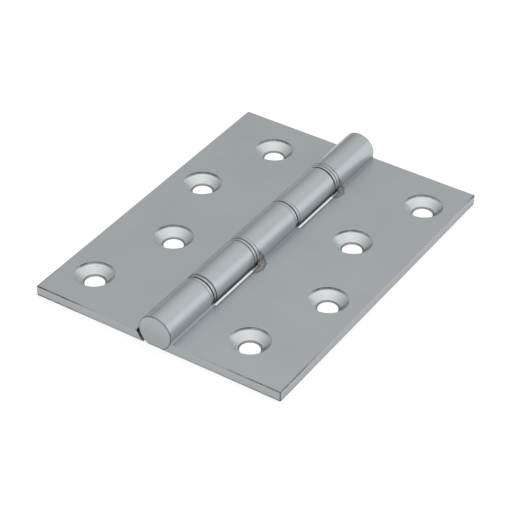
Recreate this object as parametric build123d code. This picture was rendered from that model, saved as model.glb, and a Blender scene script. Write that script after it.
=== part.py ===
from build123d import *
import os
from math import asin, degrees, radians, sqrt, tan

# Washered butt hinge, lying open on the backs of its leaves. Lengths are in millimetres.
# X runs across the two leaves, Y along the pin from front to back, and Z up from the backs.
# The origin is the middle of the open hinge, on the plane of the backs.

# Leaves
hinge_length = 101.6
open_width = 76.2
leaf_thickness = 3.0
corner_radius = 0.3
edge_break = 0.12

# Knuckles and pin
knuckle_count = 5
end_knuckle_extra = 0.55
knuckle_radius = 4.95
knuckle_end_break = 0.15
ground_depth = 0.45
root_fillet = 0.5
pin_radius = 2.4

# Washers, two at each joint between neighbouring knuckles
washer_thickness = 1.15
washer_inset = 0.1
washer_edge_break = 0.15

# Clearances
pin_clearance = 0.05
slip_gap = 0.05
end_play = 0.2
recess_clearance = 0.05
notch_clearance = 0.9
web_clearance = 0.2

# Screw holes
hole_pitch = 25.4
inner_hole_offset = 20.8
outer_hole_offset = 28.6
hole_diameter = 5.6
countersink_diameter = 11.0
countersink_angle = 90.0
countersink_land = 0.2

half_length = hinge_length / 2
half_width = open_width / 2
pin_height = knuckle_radius - ground_depth
joint_count = knuckle_count - 1
joint_width = 2 * washer_thickness + slip_gap
barrel_metal = hinge_length - joint_count * joint_width - end_play
knuckle_length = (barrel_metal - 2 * end_knuckle_extra) / knuckle_count

# The right leaf carries the knuckles at both ends and in the middle, the left leaf the others.
# Knuckles and joints are counted from the front, from 0.
right_knuckles = range(0, knuckle_count, 2)
left_knuckles = range(1, knuckle_count, 2)

# The screw holes of a leaf stand in a zigzag, from the front to the back.
right_hole_offsets = [inner_hole_offset, outer_hole_offset] * 2
left_hole_offsets = [outer_hole_offset, inner_hole_offset] * 2


def knuckle_back(knuckle):
    """The back end of a knuckle's tube."""
    if knuckle == joint_count:
        return half_length
    return -half_length + end_knuckle_extra + (knuckle + 1) * knuckle_length + knuckle * joint_width


def joint_start(joint):
    """Where the two washers of a joint start."""
    # The end play of the whole barrel shows in front of the last pair of washers.
    return knuckle_back(joint) + (end_play if joint == joint_count - 1 else 0)


def joint_plane(joint):
    """The plane in which the two washers of a joint slide on each other."""
    return joint_start(joint) + joint_width / 2


def knuckle_front(knuckle):
    """The front end of a knuckle's tube."""
    return -half_length if knuckle == 0 else joint_start(knuckle - 1) + joint_width


def sweep_along_pin(outline, front, back):
    """An outline in the plane across the pin, drawn out from one place along it to another."""
    start = Plane(origin=(0, front, 0), x_dir=(1, 0, 0), z_dir=(0, -1, 0))
    return extrude(start * outline, front - back)


def pin_cylinder(radius, front, back):
    """A cylinder about the pin's axis."""
    return sweep_along_pin(Pos(0, pin_height) * Circle(radius), front, back)


def leaf_section():
    """Leaf, root fillet and knuckle in one outline, with the leaf towards +X.

    The fillet runs smoothly from the face of the leaf into the round of the knuckle, and the
    underside of the knuckle is ground flush with the back of the leaf.
    """
    fillet_height = leaf_thickness + root_fillet
    centre_distance = knuckle_radius + root_fillet
    fillet_reach = sqrt(centre_distance**2 - (fillet_height - pin_height) ** 2)
    tangent_angle = degrees(asin((fillet_height - pin_height) / centre_distance))
    ground_angle = 180 + degrees(asin(pin_height / knuckle_radius))

    root = CenterArc((fillet_reach, fillet_height), root_fillet, 270, tangent_angle - 90)
    knuckle = CenterArc((0, pin_height), knuckle_radius, tangent_angle, ground_angle - tangent_angle)
    leaf = Polyline(knuckle @ 1, (half_width, 0), (half_width, leaf_thickness), root @ 0)
    return make_face([leaf, root, knuckle])


def leaf_blank():
    """The leaf before it is notched: one knuckle along its whole length, outer edges broken."""
    blank = sweep_along_pin(leaf_section(), -half_length, half_length)
    blank = fillet(blank.edges().filter_by(Axis.Z), corner_radius)
    end_faces = blank.faces().filter_by(Axis.Y)
    side_faces = blank.faces().filter_by(lambda face: face.center().X > half_width - corner_radius)
    upright_edges = blank.edges().filter_by(Axis.Z)
    outer_edges = (end_faces + side_faces).edges()
    return chamfer([edge for edge in outer_edges if edge not in upright_edges], edge_break)


def notch(front, back):
    """The room in a leaf for a knuckle of the other leaf, between two places along the pin.

    It is concentric with the pin, so that the other knuckle turns in it, and its upper edge is
    broken like the outer edges. Beside it the face of the leaf is flat, without the root fillet.
    """
    radius = knuckle_radius + notch_clearance
    break_height = leaf_thickness - edge_break
    break_reach = sqrt(radius**2 - (pin_height - break_height) ** 2)
    clear_of_barrel = 2 * radius
    over_leaf = Polygon(
        (-clear_of_barrel, break_height),
        (break_reach, break_height),
        (break_reach + edge_break, leaf_thickness),
        (clear_of_barrel, leaf_thickness),
        (clear_of_barrel, leaf_thickness + clear_of_barrel),
        (-clear_of_barrel, leaf_thickness + clear_of_barrel),
        align=None,
    )
    return sweep_along_pin(Pos(0, pin_height) * Circle(radius) + over_leaf, front, back)


def washer_recess(front, back):
    """The room for the washers between two knuckles, which also breaks the knuckles' edges.

    The webs at the roots reach past the tubes of the knuckles, so the recess cuts into them.
    """
    axis = Axis((0, 0, pin_height), (0, 1, 0))
    face_height = pin_height + knuckle_radius - knuckle_end_break
    flare = knuckle_end_break + recess_clearance
    top = pin_height + knuckle_radius + recess_clearance
    half_outline = Polygon(
        (front, pin_height),
        (front, face_height),
        (front - flare, top),
        (back + flare, top),
        (back, face_height),
        (back, pin_height),
        align=None,
    )
    return revolve(Plane.YZ * half_outline, axis, 360)


def screw_hole(x, y):
    """A through hole with its countersink, which starts below a short upright land."""
    hole_radius = hole_diameter / 2
    sink_radius = countersink_diameter / 2
    sink_depth = (sink_radius - hole_radius) / tan(radians(countersink_angle / 2))
    hanging = (Align.CENTER, Align.CENTER, Align.MAX)
    sink = Pos(0, 0, -countersink_land) * Cone(hole_radius, sink_radius, sink_depth, align=hanging)
    land = Cylinder(sink_radius, 2 * countersink_land)
    hole = Cylinder(hole_radius, 4 * leaf_thickness)
    return Pos(x, y, leaf_thickness) * (sink + land + hole)


def leaf(knuckles, bore_radius, hole_offsets):
    """A leaf towards +X with its knuckles bored for the pin and its screw holes."""
    shape = leaf_blank()
    for knuckle in range(knuckle_count):
        if knuckle not in knuckles:
            front = -hinge_length if knuckle == 0 else joint_plane(knuckle - 1) - web_clearance
            back = hinge_length if knuckle == joint_count else joint_plane(knuckle) + web_clearance
            shape -= notch(front, back)
    for joint in range(joint_count):
        shape -= washer_recess(knuckle_back(joint), knuckle_front(joint + 1))
    shape -= pin_cylinder(bore_radius, -hinge_length, hinge_length)
    for row, offset in enumerate(hole_offsets):
        y = (row - (len(hole_offsets) - 1) / 2) * hole_pitch
        shape -= screw_hole(offset, y)
    return shape


def washer(front):
    """A washer on the pin, its rim broken on both sides and ground flush with the backs."""
    disc = pin_cylinder(knuckle_radius - washer_inset, front, front + washer_thickness)
    disc = chamfer(disc.edges().filter_by(GeomType.CIRCLE), washer_edge_break)
    disc -= pin_cylinder(pin_radius + pin_clearance, -hinge_length, hinge_length)
    size_below = 2 * knuckle_radius
    below_backs = Box(size_below, 2 * hinge_length, size_below, align=(Align.CENTER, Align.CENTER, Align.MAX))
    return disc - below_backs


nodes = {
    "right_leaf": leaf(right_knuckles, pin_radius, right_hole_offsets),
    "left_leaf": mirror(leaf(left_knuckles, pin_radius + pin_clearance, left_hole_offsets), Plane.YZ),
    "hinge_pin": pin_cylinder(pin_radius, -half_length, half_length),
}
for joint in range(joint_count):
    nodes[f"washer_{joint + 1}_front"] = washer(joint_start(joint))
    nodes[f"washer_{joint + 1}_back"] = washer(joint_plane(joint) + slip_gap / 2)

os.makedirs("parts", exist_ok=True)
for name, shape in nodes.items():
    export_step(shape, f"parts/{name}.step")
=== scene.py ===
from math import pi, radians

import bpy
from mathutils import Matrix, Quaternion, Vector

# Looks of the washered butt hinge. Lengths are in metres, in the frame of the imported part:
# X across the leaves, Y along the pin, Z up, with the backs of the leaves on z = 0.
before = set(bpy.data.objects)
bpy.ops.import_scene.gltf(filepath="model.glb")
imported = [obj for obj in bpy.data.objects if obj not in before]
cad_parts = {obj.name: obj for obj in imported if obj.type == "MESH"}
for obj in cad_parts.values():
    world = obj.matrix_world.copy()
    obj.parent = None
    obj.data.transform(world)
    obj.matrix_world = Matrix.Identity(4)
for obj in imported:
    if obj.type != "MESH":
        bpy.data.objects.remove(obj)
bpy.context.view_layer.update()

MM = 0.001

# Sizes of the hinge that the finishes follow
HALF_LENGTH = 50.8 * MM
HALF_WIDTH = 38.1 * MM
LEAF_TOP = 3.0 * MM
PIN_HEIGHT = 4.5 * MM
KNUCKLE_RADIUS = 4.95 * MM
NOTCH_RADIUS = 5.85 * MM
HOLE_PITCH = 25.4 * MM
INNER_HOLES = 20.8 * MM
OUTER_HOLES = 28.6 * MM
BORE_RADIUS = 2.8 * MM
COUNTERSINK_RADIUS = 5.5 * MM
LAND_FOOT = 2.8 * MM

# Where the two washers of each joint meet, from the front, and half the width of a joint
JOINT_PLANES = [-30.895 * MM, -10.365 * MM, 10.165 * MM, 30.895 * MM]
HALF_JOINT = 1.175 * MM

# The places along the pin between which each leaf is notched
RIGHT_NOTCHES = [(JOINT_PLANES[0], JOINT_PLANES[1]), (JOINT_PLANES[2], JOINT_PLANES[3])]
LEFT_NOTCHES = [(-HALF_LENGTH - MM, JOINT_PLANES[0]), (JOINT_PLANES[1], JOINT_PLANES[2]),
                (JOINT_PLANES[3], HALF_LENGTH + MM)]

# Warm grey patches and marks of use at the corners, each with its middle and its radius, the corners also
# with how dark they are
PATCHES = [
    (Vector((3.3, -11.1, 3.0)) * MM, 4.2 * MM),
    (Vector((3.6, 29.9, 3.0)) * MM, 3.75 * MM),
]
SCUFFED_CORNERS = [
    (Vector((-38.1, -50.8, 3.0)) * MM, 22.0 * MM, 0.65),
    (Vector((38.1, -50.8, 3.0)) * MM, 26.0 * MM, 0.4),
    (Vector((38.1, 50.8, 3.0)) * MM, 6.0 * MM, 0.5),
]

# The sides of each countersink, across and along the pin, on which its painted rim shadow and
# its painted dark reflection lie, and the distance from one turned ring to the next
RIM_SHADOW_SIDE = (-0.54, 0.84)
DARK_REFLECTION_SIDE = (0.98, 0.19)
RING_PITCH = 0.45 * MM

# How dark the dirt and painted shade in the lines at each joint are: in front of, between and behind its two
# washers
JOINT_DIRT_AND_SHADE = [(0.25, 0.95, 0.67), (0.75, 0.74, 0.1), (0.25, 0.9, 0.1), (1.0, 0.47, 0.32)]

# How much of the light the other marks take away, from 0 for none to 1 for all
ROOT_SHADE = 0.36
UNDERSIDE_SHADE = 0.6
NOTCH_WALL_SHADE = 0.7
NOTCH_BRINK_SHADE = 0.4
BARREL_END_SHADE = 0.55
UPPER_EDGE_LINE = 0.1
LOWER_EDGE_SHADE = 0.12
LOWER_EDGE_SHARE = 0.8
CUT_EDGE_SHADE = 0.17
RIM_SHADOW = 0.72
DARK_REFLECTION = 0.65
RING_SHADE = 0.12
BORE_EDGE_SHADE = 0.6

# How much rougher the surface is in places, or smoother where the number is below 0
TUBE_ROUGHNESS = -0.06
LOW_TUBE_ROUGHNESS = 0.2
ROOT_ROUGHNESS = 0.25
CONE_ROUGHNESS = 0.04
PATCH_ROUGHNESS = 0.1

# The fineness of the patterns and the depth of the relief
CLOUD_SCALE = 55.0
GRAIN_SCALE = 9000.0
UNEVEN_SCALE = 420.0
WASHER_CLOUD_SCALE = 300.0
WASHER_LINE_SCALE = 12000.0
GRAIN_DEPTH = 0.0006 * MM
RING_DEPTH = 0.004 * MM
WASHER_LINE_DEPTH = 0.002 * MM
EDGE_ROUNDING = 0.12 * MM

# Colours of the finishes, as a picture would show them under a light of 1
CHROME = (181, 186, 189)
TURNED_CHROME = (211, 215, 217)
WASHER_STEEL = (183, 187, 189)
PATCH_OUTLINE = (136, 137, 138)
PATCH_INSIDE = (174, 172, 171)

# The floor and the light round the hinge
FLOOR_SIZE = 30.0
FLOOR_DROP = 0.02 * MM
FLOOR_COLOUR = (0.46, 0.46, 0.46, 1.0)
FLOOR_GLOW = 0.62
STUDIO_LEVEL = 0.70
STUDIO_SLOPE = (0.285, -0.205, 0.80)
STUDIO_LEAST = 0.3
LAMP_SIDE = (0.72, 0.66, 0.22)
LAMP_DISTANCE = 1.2
LAMP_SIZE = 0.7
LAMP_POWER = 0.76

# The viewpoint
IMAGE_SIDE = 512
FOCAL_PIXELS = 2002.5
SENSOR = 36.0
CAMERA_PLACE = Vector((232.7, -369.3, 329.1)) * MM
CAMERA_AIM = Vector((0.47, -4.11, 0.0)) * MM
CAMERA_ROLL = radians(1.05)
CLIP_START = 0.01
CLIP_END = 60.0


def srgb(colour):
    """A colour given as it reads in a picture, from 0 to 255."""
    def linear(value):
        value /= 255
        return value / 12.92 if value <= 0.04045 else ((value + 0.055) / 1.055) ** 2.4
    return (*[linear(value) for value in colour], 1.0)


class Nodes:
    """The node tree of a material or world, with short calls for the nodes that fill it."""

    def __init__(self, owner):
        owner.use_nodes = True
        self.tree = owner.node_tree
        self.tree.nodes.clear()

    def add(self, kind, **settings):
        node = self.tree.nodes.new(kind)
        for name, value in settings.items():
            setattr(node, name, value)
        return node

    def link(self, source, target):
        self.tree.links.new(source, target)

    def put(self, value, socket):
        """Links an output to the socket, or sets a plain value on it."""
        if isinstance(value, bpy.types.NodeSocket):
            self.link(value, socket)
        else:
            socket.default_value = value

    def math(self, operation, *values):
        """One maths node. More than two values are taken one after the other."""
        if len(values) > 2:
            values = (self.math(operation, *values[:-1]), values[-1])
        node = self.add("ShaderNodeMath", operation=operation)
        for value, socket in zip(values, node.inputs):
            self.put(value, socket)
        return node.outputs[0]

    def plus(self, *values):
        return self.math("ADD", *values)

    def times(self, *values):
        return self.math("MULTIPLY", *values)

    def greatest(self, *values):
        return self.math("MAXIMUM", *values)

    def size(self, value):
        return self.math("ABSOLUTE", value)

    def length(self, across, along):
        return self.math("SQRT", self.plus(self.times(across, across), self.times(along, along)))

    def step(self, value, low, high, out_low=0.0, out_high=1.0):
        """A smooth step of the value from low to high."""
        node = self.add("ShaderNodeMapRange", interpolation_type="SMOOTHSTEP")
        for given, socket in zip((value, low, high, out_low, out_high), node.inputs):
            self.put(given, socket)
        return node.outputs[0]

    def fade(self, value, low, high):
        """1 below low, 0 above high."""
        return self.step(value, low, high, 1.0, 0.0)

    def spread(self, pattern, low, high):
        """A noise pattern, most of which lies between 0.3 and 0.7, spread out from low to high."""
        return self.step(pattern, 0.3, 0.7, low, high)

    def darken(self, shade, mask, amount):
        """The shade with that share of it taken away where the mask is 1."""
        return self.times(shade, self.plus(1.0, self.times(mask, -amount)))

    def position(self):
        """The surface point in the part's own frame, which follows its body at every pose."""
        return self.add("ShaderNodeTexCoord").outputs["Object"]

    def split(self, vector):
        node = self.add("ShaderNodeSeparateXYZ")
        self.link(vector, node.inputs[0])
        return node.outputs

    def stretch(self, vector, scale):
        node = self.add("ShaderNodeVectorMath", operation="MULTIPLY")
        self.link(vector, node.inputs[0])
        node.inputs[1].default_value = scale
        return node.outputs[0]

    def noise(self, vector, scale, detail=2.0, roughness=0.5):
        node = self.add("ShaderNodeTexNoise")
        self.link(vector, node.inputs["Vector"])
        node.inputs["Scale"].default_value = scale
        node.inputs["Detail"].default_value = detail
        node.inputs["Roughness"].default_value = roughness
        return node.outputs["Fac"]

    def distance(self, vector, point):
        node = self.add("ShaderNodeVectorMath", operation="DISTANCE")
        self.link(vector, node.inputs[0])
        node.inputs[1].default_value = point
        return node.outputs["Value"]

    def mix(self, factor, first, second, blend="MIX"):
        node = self.add("ShaderNodeMix", data_type="RGBA", blend_type=blend)
        for value, socket in zip((factor, first, second), (node.inputs[0], node.inputs[6], node.inputs[7])):
            self.put(value, socket)
        return node.outputs[2]

    def bump(self, height, distance, normal=None):
        node = self.add("ShaderNodeBump")
        node.inputs["Distance"].default_value = distance
        self.link(height, node.inputs["Height"])
        if normal is not None:
            self.link(normal, node.inputs["Normal"])
        return node.outputs["Normal"]

    def rounded_edges(self, radius):
        node = self.add("ShaderNodeBevel", samples=4)
        node.inputs["Radius"].default_value = radius
        return node.outputs[0]


class Metal(Nodes):
    """A bare metal, whose colour, shade, roughness and normal are built up mark by mark."""

    def __init__(self, name):
        self.material = bpy.data.materials.new(name)
        super().__init__(self.material)
        self.point = self.position()
        self.x, self.y, self.z = self.split(self.point)

    def mark(self, mask, amount):
        """Takes that share of the light away where the mask is 1."""
        self.shade = self.darken(self.shade, mask, amount)

    def roughen(self, mask, amount):
        self.roughness = self.plus(self.roughness, self.times(mask, amount))

    def joint_dirt_and_shade(self):
        """How dark the dirt and painted shade are in the lines in front of, between and behind each pair of
        washers.
        """
        lines = []
        for plane, strengths in zip(JOINT_PLANES, JOINT_DIRT_AND_SHADE):
            for place, strength in zip((plane - HALF_JOINT, plane, plane + HALF_JOINT), strengths):
                away = self.size(self.plus(self.y, -place))
                lines.append(self.times(self.fade(away, 0.16 * MM, 0.32 * MM), strength))
        return self.greatest(*lines)

    def finished(self):
        """The material, with the colour, roughness and relief on its shader."""
        shader = self.add("ShaderNodeBsdfPrincipled")
        shader.inputs["Metallic"].default_value = 1.0
        self.put(self.mix(1.0, self.colour, self.shade, "MULTIPLY"), shader.inputs["Base Color"])
        self.put(self.roughness, shader.inputs["Roughness"])
        self.put(self.normal, shader.inputs["Normal"])
        output = self.add("ShaderNodeOutputMaterial")
        self.link(shader.outputs["BSDF"], output.inputs["Surface"])
        return self.material


class SatinChrome(Metal):
    """Linished satin chrome, for a leaf on one side of the pin: 1 is the right side, -1 the left."""

    def __init__(self, name, leaf_side):
        super().__init__(name)
        self.side = self.size(self.x)
        self.end = self.size(self.y)
        self.to_leaf = self.times(self.x, leaf_side)
        self.from_pin = self.length(self.x, self.plus(self.z, -PIN_HEIGHT))

        # The knuckles, without their bores, and of them the round outside alone
        self.tube = self.fade(self.from_pin, KNUCKLE_RADIUS + 0.05 * MM, KNUCKLE_RADIUS + 0.25 * MM)
        self.rounded = self.step(self.from_pin, KNUCKLE_RADIUS - 0.3 * MM, KNUCKLE_RADIUS - 0.1 * MM)
        self.round_side = self.times(
            self.rounded, self.fade(self.from_pin, KNUCKLE_RADIUS + 0.04 * MM, KNUCKLE_RADIUS + 0.1 * MM))

        # Cloudy variation of the plating, the fine grain of the linishing belt along the pin, and
        # the uneven reach of dirt, wear and painted shade
        cloud = self.noise(self.point, CLOUD_SCALE, 3.0, 0.55)
        grain = self.noise(self.stretch(self.point, (1.0, 0.02, 1.0)), GRAIN_SCALE, 2.0, 0.6)
        self.uneven = self.noise(self.point, UNEVEN_SCALE, 3.0, 0.6)
        self.colour = srgb(CHROME)
        self.shade = self.plus(1.0, self.spread(cloud, -0.02, 0.02), self.spread(grain, -0.012, 0.012))
        self.roughness = self.plus(self.spread(cloud, 0.36, 0.40), self.spread(grain, -0.02, 0.02))
        self.normal = self.bump(grain, GRAIN_DEPTH, self.rounded_edges(EDGE_ROUNDING))

    def add_knuckles(self):
        """Knuckles ground smooth, with dull roots, and painted shade in the roots and low where they face a
        notch.
        """
        self.roughen(self.tube, TUBE_ROUGHNESS)

        # The belt doesn't reach the roots, which stay dull; shade is painted into the crease at the roots,
        # less at the front
        root = self.times(self.rounded, self.step(self.to_leaf, 0.0, MM),
                          self.fade(self.side, 5.0 * MM, 5.5 * MM),
                          self.step(self.z, 2.6 * MM, 2.9 * MM), self.fade(self.z, 3.25 * MM, 3.65 * MM),
                          self.step(self.y, -33.0 * MM, -15.0 * MM, 0.5, 1.0))
        self.mark(root, ROOT_SHADE)
        self.roughen(root, ROOT_ROUGHNESS)

        # Low on their sides the knuckles are duller, and shade is painted low on the side away from the leaf
        self.roughen(self.times(self.tube, self.fade(self.z, 4.0 * MM, 6.5 * MM)), LOW_TUBE_ROUGHNESS)
        underside_shade = self.times(self.round_side, self.fade(self.to_leaf, -3.5 * MM, -2.5 * MM),
                           self.step(self.z, 0.6 * MM, 2.2 * MM), self.fade(self.z, 2.3 * MM, 4.7 * MM))
        self.mark(underside_shade, UNDERSIDE_SHADE)

    def add_notch_shade(self, notches):
        """Shade painted on the walls of the notches and along their upper edges."""
        spans = [self.times(self.step(self.y, front - 0.1 * MM, front + 0.1 * MM),
                            self.fade(self.y, back - 0.1 * MM, back + 0.1 * MM)) for front, back in notches]
        upper = self.step(self.z, LEAF_TOP - 0.9 * MM, LEAF_TOP - 0.5 * MM)
        along_notch = self.times(self.plus(*spans), upper)
        wall = self.fade(self.from_pin, NOTCH_RADIUS + 0.03 * MM, NOTCH_RADIUS + 0.1 * MM)
        brink = self.fade(self.from_pin, NOTCH_RADIUS + 0.3 * MM, NOTCH_RADIUS + 0.65 * MM)
        self.mark(self.times(along_notch, wall), NOTCH_WALL_SHADE)
        self.mark(self.times(along_notch, brink), NOTCH_BRINK_SHADE)

    def add_joint_lines(self):
        """Dirt and painted shade in the broken edges of the knuckles at the joints, and painted shade round
        the barrel's ends.
        """
        rim = self.times(self.step(self.end, HALF_LENGTH - 0.4 * MM, HALF_LENGTH - 0.2 * MM), BARREL_END_SHADE)
        self.mark(self.times(self.greatest(self.joint_dirt_and_shade(), rim), self.round_side), 1.0)

    def add_outer_edges(self):
        """Dark lines along the outer edges, strongest at the scuffed corners, with painted shade along the
        lower edges and on the cut edges.
        """
        near_end = self.step(self.end, HALF_LENGTH - 0.4 * MM, HALF_LENGTH - 0.15 * MM)
        near_side = self.step(self.side, HALF_WIDTH - 0.4 * MM, HALF_WIDTH - 0.15 * MM)
        near_edge = self.greatest(near_end, near_side)
        upper_edge = self.times(near_edge, self.step(self.z, LEAF_TOP - 0.35 * MM, LEAF_TOP - 0.1 * MM),
                                self.fade(self.tube, 0.0, 1.0))
        lower_edge = self.times(near_edge, self.fade(self.z, 0.3 * MM, 0.6 * MM))
        corner = self.times(near_end, near_side)
        scuffs = [self.times(self.fade(self.distance(self.point, middle), 0.2 * reach, reach), amount)
                  for middle, reach, amount in SCUFFED_CORNERS]
        wear = self.times(self.plus(UPPER_EDGE_LINE, *scuffs), self.step(self.uneven, 0.25, 0.6, 0.5, 1.3))
        self.mark(self.times(self.greatest(upper_edge, corner), wear), 1.0)
        # Along the lower edges the dark line is painted shade where the hinge meets the floor, with the wear
        # on top
        self.mark(self.times(lower_edge, self.plus(LOWER_EDGE_SHADE, wear)), LOWER_EDGE_SHARE)

        # Shade is painted on the cut edges themselves and on the dressed ends of the barrel, which are darker
        # than the faces
        cut_end = self.step(self.end, HALF_LENGTH - 0.06 * MM, HALF_LENGTH - 0.01 * MM)
        cut_side = self.step(self.side, HALF_WIDTH - 0.06 * MM, HALF_WIDTH - 0.01 * MM)
        self.mark(self.greatest(cut_end, cut_side), CUT_EDGE_SHADE)

    def from_hole(self, first_hole_offset):
        """How far to the right and to the back the surface lies from its nearest hole's axis.

        The rows of holes stand one pitch apart, by turns at the two distances from the pin.
        """
        along = self.math("DIVIDE", self.plus(self.y, HALF_LENGTH), HOLE_PITCH)
        odd_row = self.math("FLOORED_MODULO", self.math("FLOOR", along), 2.0)
        other_offset = INNER_HOLES + OUTER_HOLES - first_hole_offset
        offset = self.step(odd_row, 0.0, 1.0, first_hole_offset, other_offset)
        to_right = self.times(self.math("SUBTRACT", self.side, offset), self.math("SIGN", self.x))
        to_back = self.times(self.plus(self.math("FRACT", along), -0.5), HOLE_PITCH)
        return to_right, to_back

    def add_countersinks(self, first_hole_offset):
        """Bright turned countersinks, with rings, a painted shadow under the back rim, and painted shade on
        the right side and at the bore.
        """
        to_right, to_back = self.from_hole(first_hole_offset)
        radius = self.length(to_right, to_back)

        def towards(side):
            """How far from the hole's axis the surface lies in a direction."""
            return self.plus(self.times(to_right, side[0]), self.times(to_back, side[1]))

        # The cone starts at the foot of the upright land and falls by as much as it narrows
        in_sink = self.fade(radius, COUNTERSINK_RADIUS + 0.01 * MM, COUNTERSINK_RADIUS + 0.06 * MM)
        off_cone = self.size(
            self.plus(self.math("SUBTRACT", radius, self.z), LAND_FOOT - COUNTERSINK_RADIUS))
        cone = self.times(in_sink, self.fade(off_cone, 0.06 * MM, 0.12 * MM))
        rings = self.math("SINE", self.times(radius, 2 * pi / RING_PITCH))
        self.colour = self.mix(cone, self.colour, srgb(TURNED_CHROME))
        self.mark(self.times(cone, self.step(rings, -1.0, 1.0)), RING_SHADE)
        self.roughen(cone, CONE_ROUGHNESS)
        self.normal = self.bump(self.times(rings, cone), RING_DEPTH, self.normal)

        # A shadow is painted under the back rim
        rim_shadow = self.times(in_sink, self.fade(self.z, LEAF_TOP - 0.04 * MM, LEAF_TOP - 0.01 * MM),
                              self.step(self.z, LAND_FOOT - 0.5 * MM, LAND_FOOT - 0.2 * MM),
                              self.step(towards(RIM_SHADOW_SIDE), 1.4 * MM, 4.2 * MM))
        self.mark(self.times(rim_shadow, self.step(self.uneven, 0.2, 0.7, 0.6, 1.1)), RIM_SHADOW)

        # A dark reflection is painted on the right side of the cone, most of it next to the bore, and shade
        # on the cone's foot at the bore's edge
        right_share = self.math("DIVIDE", towards(DARK_REFLECTION_SIDE), radius)
        dark_reflection = self.times(cone, self.step(right_share, 0.89, 0.99),
                            self.step(radius, BORE_RADIUS, COUNTERSINK_RADIUS, 1.0, 0.6))
        self.mark(self.times(dark_reflection, self.step(self.uneven, 0.3, 0.6, 0.7, 1.0)), DARK_REFLECTION)
        self.mark(self.times(cone, self.fade(self.z, 0.35 * MM, 0.6 * MM)), BORE_EDGE_SHADE)

    def add_patches(self, strength):
        """Warm grey patches, thinly outlined, at two joints."""
        upper = self.step(self.z, LEAF_TOP - 0.7 * MM, LEAF_TOP - 0.3 * MM, 0.0, strength)
        for middle, reach in PATCHES:
            distance = self.plus(self.distance(self.point, middle),
                                 self.step(self.uneven, 0.2, 0.8, -0.4 * MM, 0.4 * MM))
            patch = self.times(self.fade(distance, reach - 0.1 * MM, reach + 0.25 * MM), upper)
            inside = self.times(self.fade(distance, reach - 0.9 * MM, reach - 0.3 * MM), upper)
            self.colour = self.mix(patch, self.colour, srgb(PATCH_OUTLINE))
            self.colour = self.mix(inside, self.colour, srgb(PATCH_INSIDE))
            self.roughen(patch, PATCH_ROUGHNESS)


def chrome_leaf(name, leaf_side, first_hole_offset, notches, patch_strength):
    """The finish of a leaf, given the offset of its front hole and the spans of its notches."""
    metal = SatinChrome(name, leaf_side)
    metal.add_knuckles()
    metal.add_notch_shade(notches)
    metal.add_joint_lines()
    metal.add_outer_edges()
    metal.add_countersinks(first_hole_offset)
    metal.add_patches(patch_strength)
    return metal.finished()


def chrome_pin():
    """The finish of the pin, whose ends are ground and dressed together with the barrel."""
    metal = SatinChrome("satin_chrome_pin", leaf_side=1.0)
    metal.add_knuckles()
    metal.add_outer_edges()
    return metal.finished()


def turned_washer():
    """Bright turned steel, with fine lines round the rim and dirt and painted shade in its broken edges."""
    metal = Metal("turned_washer")
    lines = metal.noise(metal.stretch(metal.point, (0.04, 1.0, 0.04)), WASHER_LINE_SCALE, 2.0, 0.6)
    cloud = metal.noise(metal.point, WASHER_CLOUD_SCALE, 2.0, 0.5)
    metal.colour = srgb(WASHER_STEEL)
    metal.shade = metal.plus(1.0, metal.spread(cloud, -0.03, 0.03), metal.spread(lines, -0.03, 0.03))
    metal.mark(metal.joint_dirt_and_shade(), 1.0)
    metal.roughness = metal.spread(cloud, 0.30, 0.36)
    metal.normal = metal.bump(lines, WASHER_LINE_DEPTH)
    return metal.finished()


FINISHES = {
    "right_leaf": chrome_leaf("satin_chrome_right", 1.0, INNER_HOLES, RIGHT_NOTCHES, 1.0),
    "left_leaf": chrome_leaf("satin_chrome_left", -1.0, OUTER_HOLES, LEFT_NOTCHES, 0.35),
    "hinge_pin": chrome_pin(),
}
WASHER_FINISH = turned_washer()
for name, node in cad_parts.items():
    for slot in node.material_slots:
        slot.material = FINISHES.get(name, WASHER_FINISH)


def shown_to_metal_and_camera(nodes):
    """1 for what the camera sees directly, in a reflection or through glass."""
    path = nodes.add("ShaderNodeLightPath").outputs
    return nodes.greatest(path["Is Camera Ray"], path["Is Glossy Ray"], path["Is Transmission Ray"])


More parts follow.
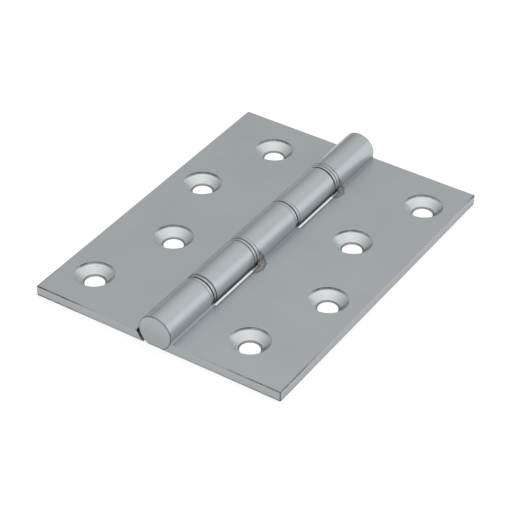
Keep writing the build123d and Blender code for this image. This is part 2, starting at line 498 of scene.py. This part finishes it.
def make_floor():
    """A white floor. More than half of its brightness is its own where it is seen, so that the
    ground is white and the hinge's shadow on it stays soft and pale."""
    bpy.ops.mesh.primitive_plane_add(size=FLOOR_SIZE, location=(0, 0, -FLOOR_DROP))
    floor = bpy.context.object
    floor.name = "floor"
    material = bpy.data.materials.new("floor")
    nodes = Nodes(material)
    paper = nodes.add("ShaderNodeBsdfDiffuse")
    paper.inputs["Color"].default_value = FLOOR_COLOUR
    glow = nodes.add("ShaderNodeEmission")
    nodes.put(nodes.times(shown_to_metal_and_camera(nodes), FLOOR_GLOW), glow.inputs["Strength"])
    both = nodes.add("ShaderNodeAddShader")
    nodes.link(paper.outputs[0], both.inputs[0])
    nodes.link(glow.outputs[0], both.inputs[1])
    output = nodes.add("ShaderNodeOutputMaterial")
    nodes.link(both.outputs[0], output.inputs["Surface"])
    floor.data.materials.append(material)


def make_world():
    """A pale studio, brightest above and a little to the front right."""
    world = bpy.data.worlds.new("studio")
    bpy.context.scene.world = world
    nodes = Nodes(world)
    slope = nodes.add("ShaderNodeVectorMath", operation="DOT_PRODUCT")
    nodes.link(nodes.add("ShaderNodeTexCoord").outputs["Generated"], slope.inputs[0])
    slope.inputs[1].default_value = STUDIO_SLOPE
    background = nodes.add("ShaderNodeBackground")
    level = nodes.greatest(nodes.plus(slope.outputs["Value"], STUDIO_LEVEL), STUDIO_LEAST)
    nodes.link(level, background.inputs["Strength"])
    output = nodes.add("ShaderNodeOutputWorld")
    nodes.link(background.outputs[0], output.inputs["Surface"])


def make_lamp():
    """A square lamp to the back right, low over the floor, that faces the hinge."""
    data = bpy.data.lights.new("softbox_right", "AREA")
    data.shape = "SQUARE"
    data.size = LAMP_SIZE
    data.energy = LAMP_POWER
    lamp = bpy.data.objects.new("softbox_right", data)
    bpy.context.scene.collection.objects.link(lamp)
    away = Vector(LAMP_SIDE).normalized()
    lamp.location = away * LAMP_DISTANCE
    lamp.rotation_euler = away.to_track_quat("Z", "Y").to_euler()


def make_camera():
    """The photograph's viewpoint, with the focal length given in pixels of the picture."""
    data = bpy.data.cameras.new("camera")
    data.sensor_fit = "HORIZONTAL"
    data.sensor_width = SENSOR
    data.lens = FOCAL_PIXELS / IMAGE_SIDE * SENSOR
    data.clip_start = CLIP_START
    data.clip_end = CLIP_END
    camera = bpy.data.objects.new("camera", data)
    bpy.context.scene.collection.objects.link(camera)
    look = (CAMERA_AIM - CAMERA_PLACE).to_track_quat("-Z", "Y")
    roll = Quaternion((0.0, 0.0, 1.0), CAMERA_ROLL)
    camera.matrix_world = Matrix.LocRotScale(CAMERA_PLACE, look @ roll, None)
    bpy.context.scene.camera = camera


make_floor()
make_world()
make_lamp()
make_camera()
bpy.context.scene.view_settings.view_transform = "Standard"
